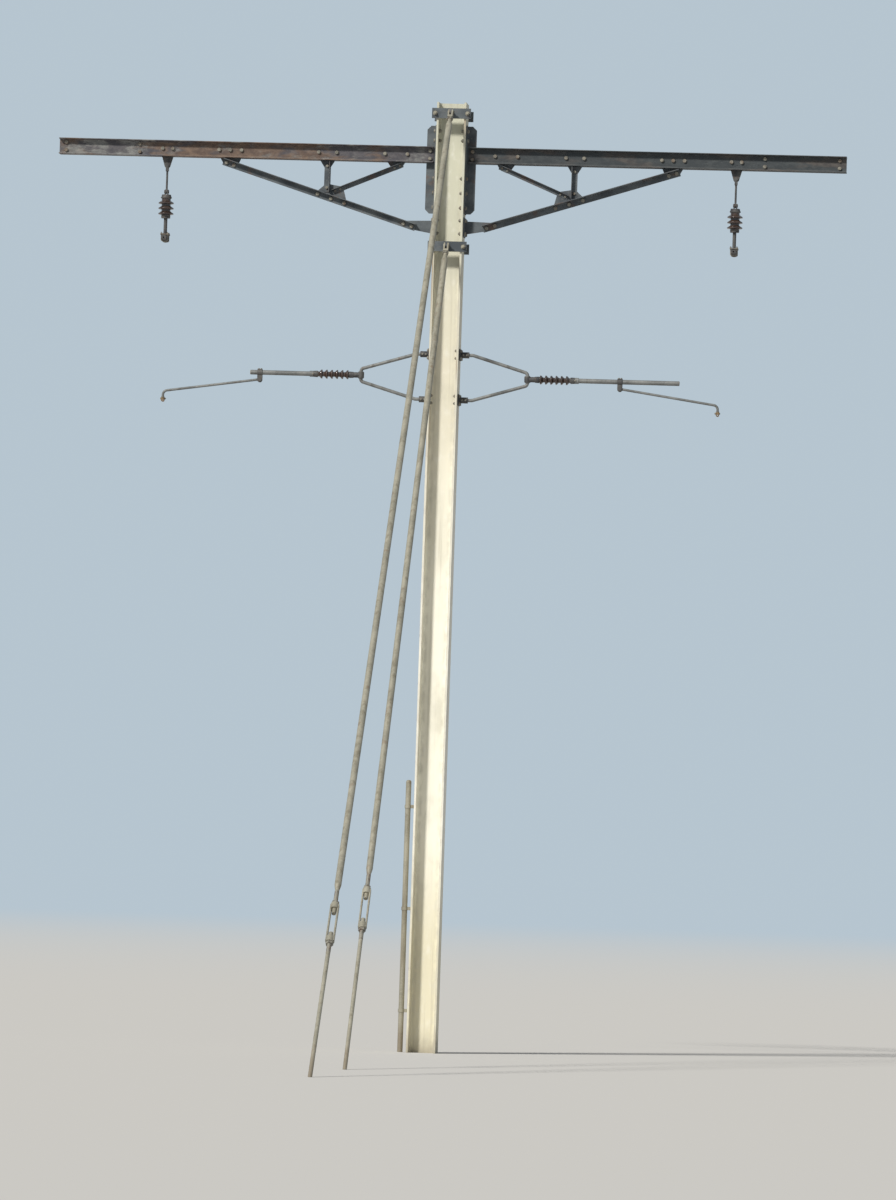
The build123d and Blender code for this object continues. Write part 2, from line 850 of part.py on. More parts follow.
def stay(height, anchor_y):
    """Fork on the collar's lug, tube with drawn-in ends, and the rod threaded into the turnbuckle."""
    frame, length = stay_frame(height, anchor_y)
    inner = stay_lug / 2 + fork_gap
    fork_end = stay_fork_length - 2 * stay_ear
    turnbuckle_start = length - turnbuckle_distance - turnbuckle_length
    rod_end = turnbuckle_start + turnbuckle_thread_length
    tube_start = stay_fork_length + stay_neck
    tube_end = turnbuckle_start - stay_bare_thread
    pin = cross_pin(tuple(frame.origin), (1, 0, 0), stay_pin_radius, inner + stay_ear)
    with BuildPart() as rod:
        for side in (1, -1):
            ear = Plane(
                origin=frame.origin + frame.x_dir * side * inner,
                x_dir=frame.z_dir,
                z_dir=frame.x_dir * side,
            )
            with BuildSketch(ear):
                Circle(stay_ear_radius)
                with Locations((stay_fork_length / 2, 0)):
                    Rectangle(stay_fork_length, 2 * stay_ear_radius)
            extrude(amount=stay_ear)
        with BuildSketch(frame.offset(fork_end)):
            Rectangle(2 * (inner + stay_ear), 2 * stay_ear_radius)
        extrude(amount=2 * stay_ear)
        with BuildSketch(frame.offset(stay_fork_length)):
            Circle(stay_rod_radius)
        extrude(amount=rod_end - stay_fork_length)
        with BuildSketch(Plane(origin=frame.origin, x_dir=frame.x_dir, z_dir=-frame.y_dir)):
            with BuildLine():
                Polyline(
                    (0, tube_start),
                    (stay_rod_radius, tube_start),
                    (stay_tube_radius, tube_start + stay_tube_taper),
                    (stay_tube_radius, tube_end - stay_tube_taper),
                    (stay_rod_radius, tube_end),
                    (0, tube_end),
                    close=True,
                )
            make_face()
        revolve(axis=Axis(frame.origin, frame.z_dir))
        add(pin.part)
    return rod


def turnbuckle(height, anchor_y):
    """Open turnbuckle: two bosses joined by two side bars."""
    frame, length = stay_frame(height, anchor_y)
    start = length - turnbuckle_distance - turnbuckle_length
    bar_x = stay_rod_radius + turnbuckle_bar_thickness / 2 + member_gap
    with BuildPart() as piece:
        for boss_start in (start, start + turnbuckle_length - turnbuckle_boss):
            with BuildSketch(frame.offset(boss_start)):
                Circle(turnbuckle_boss_radius)
            extrude(amount=turnbuckle_boss)
        with BuildSketch(frame.offset(start + turnbuckle_boss / 4)):
            with Locations((bar_x, 0), (-bar_x, 0)):
                RectangleRounded(turnbuckle_bar_thickness, turnbuckle_bar_width, member_gap)
        extrude(amount=turnbuckle_length - turnbuckle_boss / 2)
        with BuildSketch(frame.offset(start)):
            Circle(stay_rod_radius + seat_clearance)
        extrude(amount=turnbuckle_length, mode=Mode.SUBTRACT)
    return piece


def anchor_rod(height, anchor_y):
    """Rod from the turnbuckle into the ground, cut at ground level."""
    frame, length = stay_frame(height, anchor_y)
    start = length - turnbuckle_distance - turnbuckle_thread_length
    with BuildPart() as rod:
        with BuildSketch(frame.offset(start)):
            Circle(stay_rod_radius)
        extrude(amount=length - start + 4 * stay_rod_radius)
        split(bisect_by=Plane.XY, keep=Keep.TOP)
    return rod


# Cable guard


def cable_guard():
    """Pipe with a domed end that shields the earth lead beside the left flange."""
    with BuildPart() as pipe:
        with BuildSketch(Plane.XY):
            with Locations((guard_x, 0)):
                Circle(guard_radius)
        extrude(amount=guard_height)
        fillet(faces().sort_by(Axis.Z)[-1].edges(), guard_radius * 0.8)
        with BuildSketch(Plane.XY):
            with Locations((guard_x, 0)):
                Circle(guard_radius - guard_wall)
        extrude(amount=guard_height - guard_radius, mode=Mode.SUBTRACT)
    return pipe


def guard_clips():
    """Straps that hold the pipe off the flange, each with a foot on the flange."""
    foot_length = -column_face - guard_x
    strap_radius = guard_radius + guard_clip_wall
    highest = guard_height - guard_head_clip
    with BuildPart() as clips:
        for height in (guard_foot_clip, (guard_foot_clip + highest) / 2, highest):
            with BuildSketch(Plane.XY.offset(height)):
                with Locations((guard_x, 0)):
                    Circle(strap_radius)
                with Locations((guard_x + foot_length / 2, 0)):
                    Rectangle(foot_length, guard_radius)
                with Locations((-column_face - guard_clip_wall / 2, 0)):
                    Rectangle(guard_clip_wall, guard_clip_width)
                with Locations((guard_x, 0)):
                    Circle(guard_radius + seat_clearance, mode=Mode.SUBTRACT)
            extrude(amount=guard_clip_height)
    return clips


# Every piece is written under its own name


def save_both(piece, name):
    """Writes a piece of the right arm and its mirror image on the left arm."""
    save(piece, f"right_{name}")
    save(on_left(piece), f"left_{name}")


def main():
    os.makedirs("parts", exist_ok=True)
    save(column(), "mast_column")
    save_both(cleat(), "cleat")
    save_both(arm(), "arm_channels")
    save_both(strut(), "strut")
    save_both(post(), "post")
    save_both(diagonal(), "diagonal")
    save_both(gussets(), "gussets")
    save_both(foot_lug(), "foot_lug")
    save_both(hanger(), "hanger")
    save_both(link(), "suspension_link")
    save_both(insulator_cap(), "insulator_cap")
    save_both(suspension_insulator(), "suspension_insulator")
    save_both(saddle(), "wire_saddle")
    save_both(bow_clamps(), "bow_clamps")
    save_both(bow(), "registration_bow")
    save_both(swivel(), "swivel")
    save_both(strain_insulator(), "registration_insulator")
    save(registration_tube(right_tube_end), "right_registration_tube")
    save(on_left(registration_tube(left_tube_end)), "left_registration_tube")
    save(drop_bracket(right_steady_x), "right_drop_bracket")
    save(on_left(drop_bracket(left_steady_x)), "left_drop_bracket")
    save(steady_arm(right_steady_x, right_wire_x), "right_steady_arm")
    save(on_left(steady_arm(left_steady_x, left_wire_x)), "left_steady_arm")
    save(wire_clip(right_wire_x), "right_wire_clip")
    save(on_left(wire_clip(left_wire_x)), "left_wire_clip")
    for name, height, anchor_y in (
        ("upper", upper_collar_height, upper_anchor_y),
        ("lower", lower_collar_height, lower_anchor_y),
    ):
        save(collar(height), f"{name}_stay_collar")
        save(collar_bolts(height), f"{name}_collar_bolts")
        save(stay(height, anchor_y), f"{name}_stay_rod")
        save(turnbuckle(height, anchor_y), f"{name}_turnbuckle")
        save(anchor_rod(height, anchor_y), f"{name}_anchor_rod")
    save(cable_guard(), "cable_guard")
    save(guard_clips(), "cable_guard_clips")


main()
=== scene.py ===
import bmesh
import bpy
import json
import math
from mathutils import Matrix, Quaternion, Vector


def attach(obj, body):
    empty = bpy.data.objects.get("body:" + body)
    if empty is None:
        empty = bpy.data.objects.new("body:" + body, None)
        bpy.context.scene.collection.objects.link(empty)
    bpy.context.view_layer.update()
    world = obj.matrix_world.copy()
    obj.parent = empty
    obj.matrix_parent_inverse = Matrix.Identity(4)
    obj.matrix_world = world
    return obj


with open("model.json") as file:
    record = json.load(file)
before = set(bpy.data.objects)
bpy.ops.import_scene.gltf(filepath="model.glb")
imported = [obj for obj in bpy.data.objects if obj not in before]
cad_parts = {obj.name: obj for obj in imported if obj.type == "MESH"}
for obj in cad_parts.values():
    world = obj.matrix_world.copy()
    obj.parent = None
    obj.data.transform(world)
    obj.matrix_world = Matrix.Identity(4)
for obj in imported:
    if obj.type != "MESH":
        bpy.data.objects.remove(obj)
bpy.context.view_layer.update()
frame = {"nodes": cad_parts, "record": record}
pins = {joint["name"]: joint["pos_m"] for joint in frame["record"]["behaviour"]["joints"]}
holds = {mount["name"]: mount["pos_m"] for mount in frame["record"]["mounts"]}

# Places of pins and mounts from the frame, in metres, x as a distance from the column's middle
SIDES = (("left", -1), ("right", 1))
SUSPENSION = pins["right_hanger_sway"][0]
HANGER_PIN = pins["right_hanger_sway"][2]
SWING_PIN = pins["right_insulator_swing"][2]
MESSENGER = holds["right_messenger_saddle"][2]
BOW = pins["right_registration_swivel"][2]
BOW_CLAMPS = (BOW - 0.200, BOW + 0.200)
STEADY_PIVOT = pins["right_steady_lift"][2]
STEADY = {side: abs(pins[f"{side}_steady_lift"][0]) for side, sign in SIDES}
WIRE = {side: abs(holds[f"{side}_contact_wire_clip"][0]) for side, sign in SIDES}
CONTACT = holds["right_contact_wire_clip"][2]
ANCHOR = {level: holds[f"{level}_stay_anchor"][1] for level in ("upper", "lower")}

# Sizes repeated from the part, in metres, for the right side; the left side mirrors them
ARM = 7.94
STRUT_FOOT = (0.330, 7.300)
STRUT_HEAD = (2.030, 7.836)
POST = 1.100
POST_HEAD = 7.866
DIAGONAL_HEAD = (0.430, 7.846)
STRUT_SLOPE = (STRUT_HEAD[1] - STRUT_FOOT[1]) / (STRUT_HEAD[0] - STRUT_FOOT[0])
STRUT_EDGE = 0.030 * math.sqrt(1 + STRUT_SLOPE**2)
COLUMN_FACE = 0.130
COLUMN_FLANGE = 0.0175
PLATE = 0.012
PLATE_FACE = COLUMN_FACE + PLATE
INSULATOR = (7.335, 7.500)
SLIM_INSULATOR = (0.835, 1.135)
TUBE_END = {"left": 1.720, "right": 2.080}
COLLAR = {"upper": 8.300, "lower": 7.120}
COLLAR_PLATE = 0.016
COLLAR_BOLT = 0.143
COLLAR_NUT = 0.016
STAY_LUG = 0.062
ROD = 0.017
TURNBUCKLE = (1.500, 0.440)
BARE_THREAD = 0.160
THREAD_PITCH = 0.004
GUARD_CLIPS = (0.365, 1.265, 2.165)
GUARD_CLIP_WALL = 0.005


# Procedural materials


class Shader:
    """One material, built node by node. Places are in metres in the part's own frame."""

    def __init__(self, name, metallic=0.0, coat=0.0):
        self.material = bpy.data.materials.new(name)
        self.material.use_nodes = True
        self.nodes = self.material.node_tree.nodes
        self.links = self.material.node_tree.links
        self.surface = self.nodes["Principled BSDF"]
        self.surface.inputs["Metallic"].default_value = metallic
        self.surface.inputs["Coat Weight"].default_value = coat
        self.place = self.nodes.new("ShaderNodeTexCoord").outputs["Object"]
        split = self.nodes.new("ShaderNodeSeparateXYZ")
        self.links.new(self.place, split.inputs[0])
        self.x, self.y, self.z = split.outputs

    def put(self, socket, value):
        """Links a socket, or sets its value."""
        if isinstance(value, bpy.types.NodeSocket):
            self.links.new(value, socket)
        elif isinstance(value, tuple):
            socket.default_value = (*value, 1)
        else:
            socket.default_value = value

    def noise(self, scale, stretch=(1, 1, 1), detail=4, rough=0.55, shift=0.0):
        """Fractal noise between 0 and 1, finer along the axes that are stretched."""
        mapping = self.nodes.new("ShaderNodeMapping")
        self.links.new(self.place, mapping.inputs["Vector"])
        mapping.inputs["Scale"].default_value = [scale * factor for factor in stretch]
        mapping.inputs["Location"].default_value = (shift, shift * 0.7, shift * 1.3)
        node = self.nodes.new("ShaderNodeTexNoise")
        self.links.new(mapping.outputs[0], node.inputs["Vector"])
        node.inputs["Scale"].default_value = 1
        node.inputs["Detail"].default_value = detail
        node.inputs["Roughness"].default_value = rough
        return node.outputs["Fac"]

    def cells(self, scale):
        """Random value of each crystal in a cell pattern."""
        node = self.nodes.new("ShaderNodeTexVoronoi")
        self.links.new(self.place, node.inputs["Vector"])
        node.inputs["Scale"].default_value = scale
        split = self.nodes.new("ShaderNodeSeparateColor")
        self.links.new(node.outputs["Color"], split.inputs[0])
        return split.outputs[0]

    def band(self, value, low, high, start=0.0, end=1.0):
        """Smooth step from start to end as value goes from low to high."""
        node = self.nodes.new("ShaderNodeMapRange")
        node.interpolation_type = "SMOOTHSTEP"
        for socket, setting in zip(node.inputs, (value, low, high, start, end)):
            self.put(socket, setting)
        return node.outputs[0]

    def calc(self, operation, first, second=0.0):
        """One step of arithmetic."""
        node = self.nodes.new("ShaderNodeMath")
        node.operation = operation
        self.put(node.inputs[0], first)
        self.put(node.inputs[1], second)
        return node.outputs[0]

    def times(self, *values):
        """Product of several values."""
        result = values[0]
        for value in values[1:]:
            result = self.calc("MULTIPLY", result, value)
        return result

    def mix(self, share, first, second):
        """Colour between first and second."""
        node = self.nodes.new("ShaderNodeMix")
        node.data_type = "RGBA"
        self.put(node.inputs[0], share)
        self.put(node.inputs[6], first)
        self.put(node.inputs[7], second)
        return node.outputs[2]

    def edges(self, radius, low=0.03, high=0.3):
        """1 on outer and inner edges within a radius, 0 on flat faces."""
        bevel = self.nodes.new("ShaderNodeBevel")
        bevel.samples = 4
        bevel.inputs["Radius"].default_value = radius
        geometry = self.nodes.new("ShaderNodeNewGeometry")
        dot = self.nodes.new("ShaderNodeVectorMath")
        dot.operation = "DOT_PRODUCT"
        self.links.new(bevel.outputs[0], dot.inputs[0])
        self.links.new(geometry.outputs["Normal"], dot.inputs[1])
        return self.band(self.calc("SUBTRACT", 1.0, dot.outputs["Value"]), low, high)

    def upward(self):
        """1 on faces that look up, 0 on upright ones and below."""
        geometry = self.nodes.new("ShaderNodeNewGeometry")
        split = self.nodes.new("ShaderNodeSeparateXYZ")
        self.links.new(geometry.outputs["Normal"], split.inputs[0])
        return self.band(split.outputs[2], 0.1, 0.8)

    def window(self, value, start, end, soft):
        """1 between start and end, fading over soft on both sides."""
        rise = self.band(value, start - soft, start)
        fall = self.band(value, end, end + soft, 1.0, 0.0)
        return self.calc("MULTIPLY", rise, fall)

    def finish(self, colour, roughness, relief, depth):
        """Joins colour, roughness and relief to the surface."""
        self.put(self.surface.inputs["Base Color"], colour)
        self.put(self.surface.inputs["Roughness"], roughness)
        bump = self.nodes.new("ShaderNodeBump")
        bump.inputs["Strength"].default_value = 0.6
        bump.inputs["Distance"].default_value = depth
        self.put(bump.inputs["Height"], relief)
        self.links.new(bump.outputs[0], self.surface.inputs["Normal"])
        return self.material


def column_paint():
    """Chalky cream paint, lightest in the middle of its height and darker towards the foot and the
    top, with painted shade in the web's inner corners, rain runs, rust below fittings and splashes.
    """
    s = Shader("column_paint")
    patches = s.noise(1.1, (1.6, 1.6, 0.7), 5)
    chalk = s.noise(16, (1, 1, 0.6), 6)
    runs = s.noise(1, (34, 34, 0.8), 4, shift=3.0)
    # Colour set by height: darker and yellower at the foot, lightest between about 2 and 4 m, duller
    # and greyer towards the top.
    level = s.calc("ADD", s.z, s.calc("MULTIPLY", patches, 0.8))
    colour = s.mix(s.band(level, 1.2, 2.4), (0.74, 0.70, 0.545), (0.87, 0.85, 0.75))
    colour = s.mix(s.band(level, 4.6, 6.4), colour, (0.73, 0.695, 0.575))
    colour = s.mix(s.band(level, 6.5, 8.0), colour, (0.585, 0.585, 0.475))
    colour = s.mix(s.band(patches, 0.42, 0.66, 0.0, 0.35), colour, (0.60, 0.575, 0.47))
    colour = s.mix(s.band(chalk, 0.48, 0.75, 0.0, 0.4), colour, (0.86, 0.85, 0.79))
    colour = s.mix(s.band(runs, 0.52, 0.74, 0.0, 0.4), colour, (0.43, 0.40, 0.31))
    below = 0.0
    ragged = s.calc("ADD", s.z, s.calc("MULTIPLY", s.noise(28, detail=3, shift=2.0), -0.05))
    fittings = ((8.255, 0.5), (7.42, 0.3), (7.075, 1.1), (6.12, 0.3), (5.72, 0.9))
    for height, length in fittings:
        stain = s.band(ragged, height - length, height - 0.04)
        stain = s.calc("MULTIPLY", stain, s.band(ragged, height - 0.04, height - 0.005, 1.0, 0.0))
        below = s.calc("MAXIMUM", below, stain)
    flange = s.band(s.calc("ABSOLUTE", s.x), 0.096, 0.112)
    drips = s.band(s.noise(1, (46, 46, 1.2), 3, shift=8.0), 0.47, 0.66)
    colour = s.mix(s.times(below, flange, drips, 0.7), colour, (0.27, 0.185, 0.105))
    grime = s.band(s.noise(5, (1, 1, 0.5), 5, shift=5.0), 0.52, 0.72, 0.0, 0.3)
    colour = s.mix(grime, colour, (0.40, 0.39, 0.315))
    # Painted shade: the web is darkened in its inner corners next to the flanges, broken up by the
    # chalk noise.
    corner = s.window(s.calc("ABSOLUTE", s.x), 0.085, 0.112, 0.03)
    corner = s.times(corner, s.band(chalk, 0.35, 0.65), 0.3)
    colour = s.mix(corner, colour, (0.36, 0.34, 0.27))
    splash = s.calc("ADD", s.z, s.calc("MULTIPLY", s.noise(7, (1, 1, 0.4), 5), -0.5))
    colour = s.mix(s.band(splash, -0.30, -0.02, 0.75, 0.0), colour, (0.27, 0.235, 0.175))
    chips = s.calc("MULTIPLY", s.edges(0.006), s.band(s.noise(13, detail=6), 0.5, 0.62))
    colour = s.mix(chips, colour, (0.26, 0.155, 0.09))
    roughness = s.band(chalk, 0.3, 0.7, 0.55, 0.8)
    relief = s.calc("ADD", chalk, s.calc("MULTIPLY", chips, -0.8))
    return s.finish(colour, roughness, relief, 0.0012)


def arm_paint():
    """Old dark paint: greyer with bare and flaked places on the left arm, near black on the right."""
    s = Shader("arm_paint")
    blotch = s.noise(2.2, (1, 2.4, 3.4), 7, 0.62)
    flake = s.noise(24, (0.6, 1, 1), 7, 0.68)
    black = s.mix(s.band(flake, 0.4, 0.66), (0.030, 0.037, 0.042), (0.066, 0.076, 0.081))
    grey = s.mix(s.band(flake, 0.4, 0.66), (0.058, 0.055, 0.066), (0.125, 0.118, 0.126))
    side = s.band(s.x, -0.2, 0.2)
    left = s.calc("SUBTRACT", 1.0, side)
    colour = s.mix(side, grey, black)
    rust = s.mix(s.band(flake, 0.36, 0.68), (0.098, 0.060, 0.042), (0.215, 0.148, 0.105))
    red_zone = s.window(s.x, -2.25, -1.25, 0.5)
    rusty = s.calc("ADD", blotch, s.calc("MULTIPLY", red_zone, 0.13))
    few = s.calc("ADD", s.calc("MULTIPLY", left, 0.62), 0.25)
    colour = s.mix(s.times(s.band(rusty, 0.50, 0.64), few), colour, rust)
    bare_noise = s.noise(5.5, (1, 1.6, 2), 8, 0.66, 4.0)
    pale_zone = s.window(s.x, -3.30, -2.78, 0.22)
    bare = s.calc("ADD", bare_noise, s.calc("MULTIPLY", pale_zone, 0.11))
    primer = s.mix(s.band(flake, 0.36, 0.66), (0.155, 0.158, 0.155), (0.29, 0.292, 0.28))
    colour = s.mix(s.times(s.band(bare, 0.52, 0.70), left, 0.85), colour, primer)
    worn = s.times(s.edges(0.004), s.band(flake, 0.42, 0.6), 0.55)
    colour = s.mix(worn, colour, (0.17, 0.10, 0.07))
    dust = s.times(s.upward(), s.band(s.noise(9, detail=5), 0.4, 0.7), 0.35)
    colour = s.mix(dust, colour, (0.22, 0.21, 0.19))
    roughness = s.band(flake, 0.35, 0.7, 0.55, 0.9)
    relief = s.calc("ADD", flake, s.calc("MULTIPLY", s.band(bare, 0.54, 0.62), -0.7))
    return s.finish(colour, roughness, relief, 0.0025)


def truss_paint():
    """Dark blue-grey paint of the truss, cleats and collars, with rust along the edges."""
    s = Shader("truss_paint")
    cloud = s.noise(4, (1, 1, 1.5), 5)
    flake = s.noise(30, detail=6, rough=0.65)
    colour = s.mix(s.band(cloud, 0.36, 0.64), (0.050, 0.061, 0.072), (0.108, 0.124, 0.134))
    colour = s.mix(s.band(flake, 0.55, 0.72, 0.0, 0.5), colour, (0.19, 0.20, 0.195))
    rust = s.mix(s.band(flake, 0.36, 0.70), (0.095, 0.052, 0.036), (0.185, 0.108, 0.068))
    patches = s.noise(9, detail=8, rough=0.62, shift=2.0)
    colour = s.mix(s.band(patches, 0.54, 0.72, 0.0, 0.65), colour, rust)
    worn = s.calc("MULTIPLY", s.edges(0.004), s.band(s.noise(16, detail=5), 0.42, 0.6))
    colour = s.mix(s.calc("MULTIPLY", worn, 0.7), colour, (0.15, 0.09, 0.062))
    dust = s.times(s.upward(), s.band(cloud, 0.4, 0.7), 0.4)
    colour = s.mix(dust, colour, (0.26, 0.25, 0.22))
    return s.finish(colour, s.band(flake, 0.35, 0.7, 0.5, 0.85), flake, 0.0018)


def galvanised(name, light, dark, rusting):
    """Dull zinc with crystals, tan dirt runs and some rust."""
    s = Shader(name, metallic=0.2)
    crystal = s.cells(95)
    cloud = s.noise(6, (1, 1, 0.7), 5)
    fine = s.noise(60, detail=4)
    colour = s.mix(s.band(cloud, 0.35, 0.65), dark, light)
    glint = tuple(min(1.0, channel * 1.25) for channel in light)
    colour = s.mix(s.calc("MULTIPLY", crystal, 0.35), colour, glint)
    dirt = s.noise(1, (22, 22, 2.2), 4, shift=1.5)
    soil = tuple(channel * factor for channel, factor in zip(dark, (0.62, 0.54, 0.44)))
    colour = s.mix(s.band(dirt, 0.5, 0.72, 0.0, 0.55), colour, soil)
    rust = s.mix(s.band(fine, 0.36, 0.64), (0.125, 0.072, 0.046), (0.22, 0.135, 0.085))
    colour = s.mix(s.band(s.noise(9, detail=6, shift=6.0), 0.6, 0.7, 0.0, rusting), colour, rust)
    foot = s.calc("ADD", s.z, s.calc("MULTIPLY", s.noise(8, detail=4), -0.4))
    colour = s.mix(s.band(foot, -0.15, 0.15, 0.75, 0.0), colour, (0.22, 0.18, 0.13))
    return s.finish(colour, s.band(fine, 0.35, 0.7, 0.48, 0.72), fine, 0.0008)


def cast_iron():
    """Dark weathered castings and forgings with a sandy skin."""
    s = Shader("cast_fittings", metallic=0.3)
    sand = s.noise(140, detail=4)
    cloud = s.noise(14, detail=5)
    colour = s.mix(s.band(cloud, 0.35, 0.65), (0.045, 0.045, 0.048), (0.10, 0.098, 0.094))
    rust = s.mix(s.band(sand, 0.34, 0.68), (0.082, 0.048, 0.034), (0.15, 0.092, 0.060))
    colour = s.mix(s.band(s.noise(30, detail=7, shift=4.0), 0.54, 0.74, 0.0, 0.6), colour, rust)
    colour = s.mix(s.calc("MULTIPLY", s.edges(0.003), 0.35), colour, (0.15, 0.14, 0.13))
    return s.finish(colour, s.band(sand, 0.3, 0.7, 0.5, 0.8), sand, 0.0012)


def porcelain():
    """Dark brown glaze with a pooled, slightly uneven skin and a little dust on the sheds."""
    s = Shader("porcelain", coat=0.35)
    pool = s.noise(26, detail=3)
    colour = s.mix(s.band(pool, 0.35, 0.65), (0.034, 0.021, 0.017), (0.058, 0.035, 0.026))
    soot = s.band(s.noise(11, detail=5, shift=3.0), 0.45, 0.7, 0.0, 0.5)
    colour = s.mix(soot, colour, (0.050, 0.046, 0.042))
    dust = s.times(s.upward(), s.band(s.noise(40, detail=6), 0.40, 0.68), 0.25)
    colour = s.mix(dust, colour, (0.12, 0.112, 0.10))
    roughness = s.calc("ADD", s.band(pool, 0.3, 0.7, 0.16, 0.30), s.calc("MULTIPLY", dust, 0.9))
    return s.finish(colour, roughness, pool, 0.0006)


def bronze():
    """Bronze gone brown, brighter where it rubs."""
    s = Shader("bronze", metallic=0.85)
    cloud = s.noise(35, detail=5)
    colour = s.mix(s.band(cloud, 0.35, 0.65), (0.17, 0.115, 0.07), (0.33, 0.22, 0.12))
    colour = s.mix(s.calc("MULTIPLY", s.edges(0.003), 0.7), colour, (0.58, 0.42, 0.24))
    green = s.band(s.noise(28, detail=6, shift=3.0), 0.6, 0.72, 0.0, 0.5)
    colour = s.mix(green, colour, (0.16, 0.23, 0.18))
    return s.finish(colour, s.band(cloud, 0.3, 0.7, 0.35, 0.6), cloud, 0.0008)


def fastener_steel():
    """Grey bolt steel with rust in its corners."""
    s = Shader("fastener_steel", metallic=0.1)
    cloud = s.noise(30, detail=5)
    colour = s.mix(s.band(cloud, 0.35, 0.65), (0.155, 0.147, 0.124), (0.27, 0.257, 0.215))
    rust = s.mix(s.noise(90, detail=3), (0.105, 0.062, 0.042), (0.195, 0.122, 0.078))
    colour = s.mix(s.band(s.noise(14, detail=7, shift=7.0), 0.50, 0.68, 0.0, 0.7), colour, rust)
    colour = s.mix(s.calc("MULTIPLY", s.edges(0.002), 0.3), colour, (0.33, 0.32, 0.30))
    return s.finish(colour, s.band(cloud, 0.35, 0.65, 0.4, 0.72), cloud, 0.0006)


def cement():
    """Grey cement between porcelain and metal."""
    s = Shader("cement")
    grit = s.noise(180, detail=4)
    colour = s.mix(s.band(grit, 0.35, 0.65), (0.125, 0.12, 0.108), (0.20, 0.192, 0.174))
    return s.finish(colour, 0.92, grit, 0.001)


def floor_paint():
    """Plain pale studio floor that turns to the backdrop's colour far away."""
    s = Shader("studio_floor")
    s.surface.inputs["Specular IOR Level"].default_value = 0.0
    s.surface.inputs["Roughness"].default_value = 1.0
    length = s.nodes.new("ShaderNodeVectorMath")
    length.operation = "LENGTH"
    s.links.new(s.place, length.inputs[0])
    colour = s.mix(s.band(length.outputs["Value"], 15.0, 240.0), FLOOR, FAR_FLOOR)
    s.put(s.surface.inputs["Base Color"], colour)
    return s.material


BACKDROP = (0.47, 0.56, 0.63)
FLOOR = (0.62, 0.615, 0.60)
FAR_FLOOR = (0.487, 0.589, 0.688)
LOOKS = {
    "column_paint": column_paint(),
    "arm_paint": arm_paint(),
    "truss_paint": truss_paint(),
    "galvanised_steel": galvanised(
        "galvanised_steel", (0.335, 0.315, 0.25), (0.235, 0.222, 0.175), 0.45
    ),
    "cast_fittings": cast_iron(),
    "porcelain": porcelain(),
    "bronze": bronze(),
}
DULL_ZINC = galvanised("dull_zinc", (0.20, 0.205, 0.20), (0.115, 0.12, 0.12), 0.35)
FASTENER = fastener_steel()
CEMENT = cement()

for entry in frame["record"]["subparts"]:
    look = LOOKS[entry["material_slot"]]
    if entry["node"].endswith(("registration_bow", "registration_tube", "steady_arm")):
        look = DULL_ZINC
    for place in frame["nodes"][entry["node"]].material_slots:
        place.material = look


# Mesh tools for the small pieces


